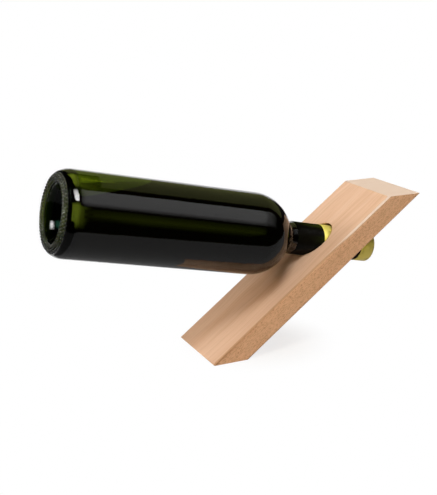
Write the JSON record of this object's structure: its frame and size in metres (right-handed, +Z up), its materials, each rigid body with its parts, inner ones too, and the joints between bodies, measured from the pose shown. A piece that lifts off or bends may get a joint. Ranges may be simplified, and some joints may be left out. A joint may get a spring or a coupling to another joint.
{
  "type": "balancing wine bottle holder",
  "caption": "Leaning wooden plank with a slanting bore that carries a full wine bottle by its neck, so that the two balance on the plank's sawn foot.",
  "frame": {"origin": "middle of the sawn foot that the board stands on", "axes": "+Z up; +X the way the board leans, with the bottle's base towards -X; +Y across the board"},
  "size_m": [0.3491, 0.076, 0.1794],
  "materials": {
    "beech": "satin",
    "green_glass": "polished",
    "red_wine": "gloss",
    "cork": "matte",
    "black_sleeve": "satin",
    "top_disc": "satin",
    "gold_foil": "satin"
  },
  "bodies": {
    "holder": {"holder_board": "beech"},
    "wine": {"wine": "red_wine"},
    "bottle": {"bottle_glass": "green_glass", "cork": "cork", "capsule_sleeve": "black_sleeve", "capsule_top_disc": "top_disc", "lower_gold_band": "gold_foil", "upper_gold_band": "gold_foil"}
  },
  "joints": [
    {"name": "bottle_slide", "type": "slide", "parent": "holder", "child": "wine", "axis": [-0.9774, 0, 0.2114], "range_m": [0, 0.11]},
    {"name": "bottle_turn", "type": "hinge", "parent": "wine", "child": "bottle", "pos_m": [0.117, 0, 0.08817], "axis": [0.9774, 0, -0.2114], "continuous": true}
  ]
}
